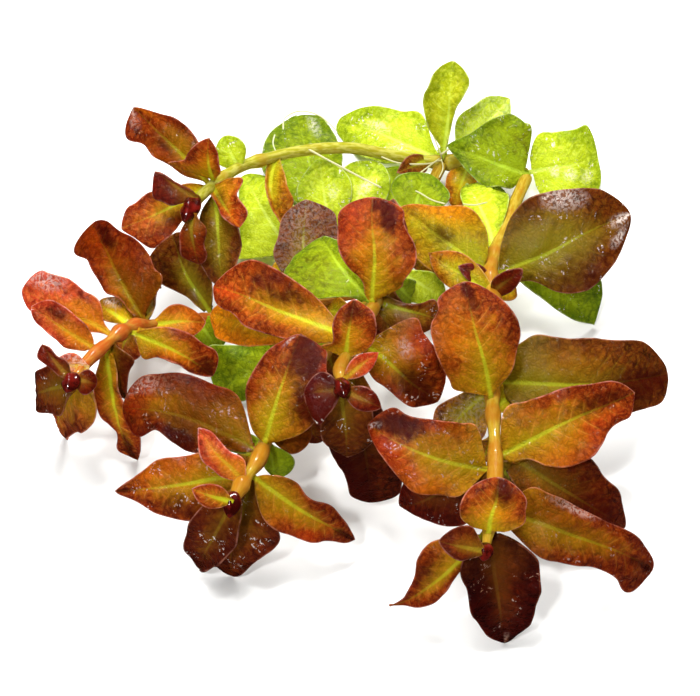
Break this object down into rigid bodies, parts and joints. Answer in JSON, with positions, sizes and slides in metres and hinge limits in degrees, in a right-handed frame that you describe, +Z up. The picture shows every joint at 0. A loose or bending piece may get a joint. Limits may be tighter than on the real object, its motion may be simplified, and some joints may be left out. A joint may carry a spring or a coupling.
{
  "type": "ludwigia aquarium plant",
  "caption": "Low clump of a red aquarium stem plant lying flat: branching stems with opposite pointed oval leaves, rust and coral at the shoot tips and lime green at the back.",
  "frame": {"origin": "middle of the clump's footprint, on the surface that it lies on", "axes": "+Z up from the surface, +Y towards the green back leaves, -Y towards the red shoot tips in front, +X to the right as seen from the front"},
  "size_m": [0.1286, 0.1342, 0.0488],
  "materials": {
    "lime_leaf": "wet, glossy, bright yellow-green leaf with paler veins",
    "green_leaf": "wet, glossy green leaf",
    "olive_leaf": "wet, glossy yellow-olive leaf with orange margins",
    "brown_leaf": "wet, glossy olive-brown leaf with a yellow-green midrib",
    "rust_leaf": "wet rust and orange leaf, mottled between its veins, with a yellow-green midrib",
    "coral_leaf": "wet coral-red leaf with an orange-yellow middle",
    "maroon_leaf": "wet dark maroon leaf",
    "yellow_stem": "smooth, slightly clear yellow-green stem",
    "orange_stem": "smooth, slightly clear orange stem",
    "dark_bud": "wet, glossy dark maroon bud"
  },
  "bodies": {
    "root": {"runner_stem": "yellow_stem", "back_left_stem": "yellow_stem", "middle_stem": "yellow_stem", "front_stem": "yellow_stem", "left_stem": "orange_stem", "right_stem": "yellow_stem", "green_stem": "yellow_stem", "back_left_tip": "dark_bud", "left_tip": "dark_bud", "middle_tip": "dark_bud", "front_tip": "dark_bud", "right_tip": "dark_bud", "green_leaf_1": "lime_leaf", "green_leaf_2": "green_leaf", "green_leaf_7": "green_leaf", "green_leaf_9": "lime_leaf", "green_leaf_10": "lime_leaf", "green_leaf_11": "lime_leaf", "green_leaf_13": "green_leaf", "green_leaf_16": "brown_leaf", "green_leaf_17": "green_leaf", "green_leaf_18": "lime_leaf", "green_leaf_19": "olive_leaf", "left_leaf_1": "brown_leaf", "middle_leaf_1": "green_leaf", "right_leaf_3": "brown_leaf", "left_leaf_3": "rust_leaf", "back_left_leaf_2": "rust_leaf", "back_left_leaf_3": "brown_leaf", "back_left_leaf_4": "rust_leaf", "back_left_leaf_6": "rust_leaf", "left_leaf_6": "rust_leaf", "left_leaf_7": "coral_leaf", "left_leaf_8": "coral_leaf", "left_leaf_9": "rust_leaf", "middle_leaf_4": "rust_leaf", "middle_leaf_5": "olive_leaf", "left_leaf_14": "rust_leaf", "middle_leaf_6": "rust_leaf", "middle_leaf_7": "brown_leaf", "middle_leaf_8": "brown_leaf", "middle_leaf_9": "rust_leaf", "front_leaf_3": "rust_leaf", "front_leaf_4": "rust_leaf", "front_leaf_5": "brown_leaf", "front_leaf_6": "rust_leaf", "front_leaf_7": "rust_leaf", "front_leaf_9": "brown_leaf", "right_leaf_6": "maroon_leaf", "right_leaf_7": "olive_leaf", "right_leaf_8": "brown_leaf", "right_leaf_9": "brown_leaf", "right_leaf_10": "rust_leaf", "right_leaf_11": "rust_leaf", "right_leaf_12": "rust_leaf", "right_leaf_13": "rust_leaf", "right_leaf_14": "rust_leaf", "right_leaf_15": "maroon_leaf", "right_leaf_16": "rust_leaf"}
  },
  "joints": []
}
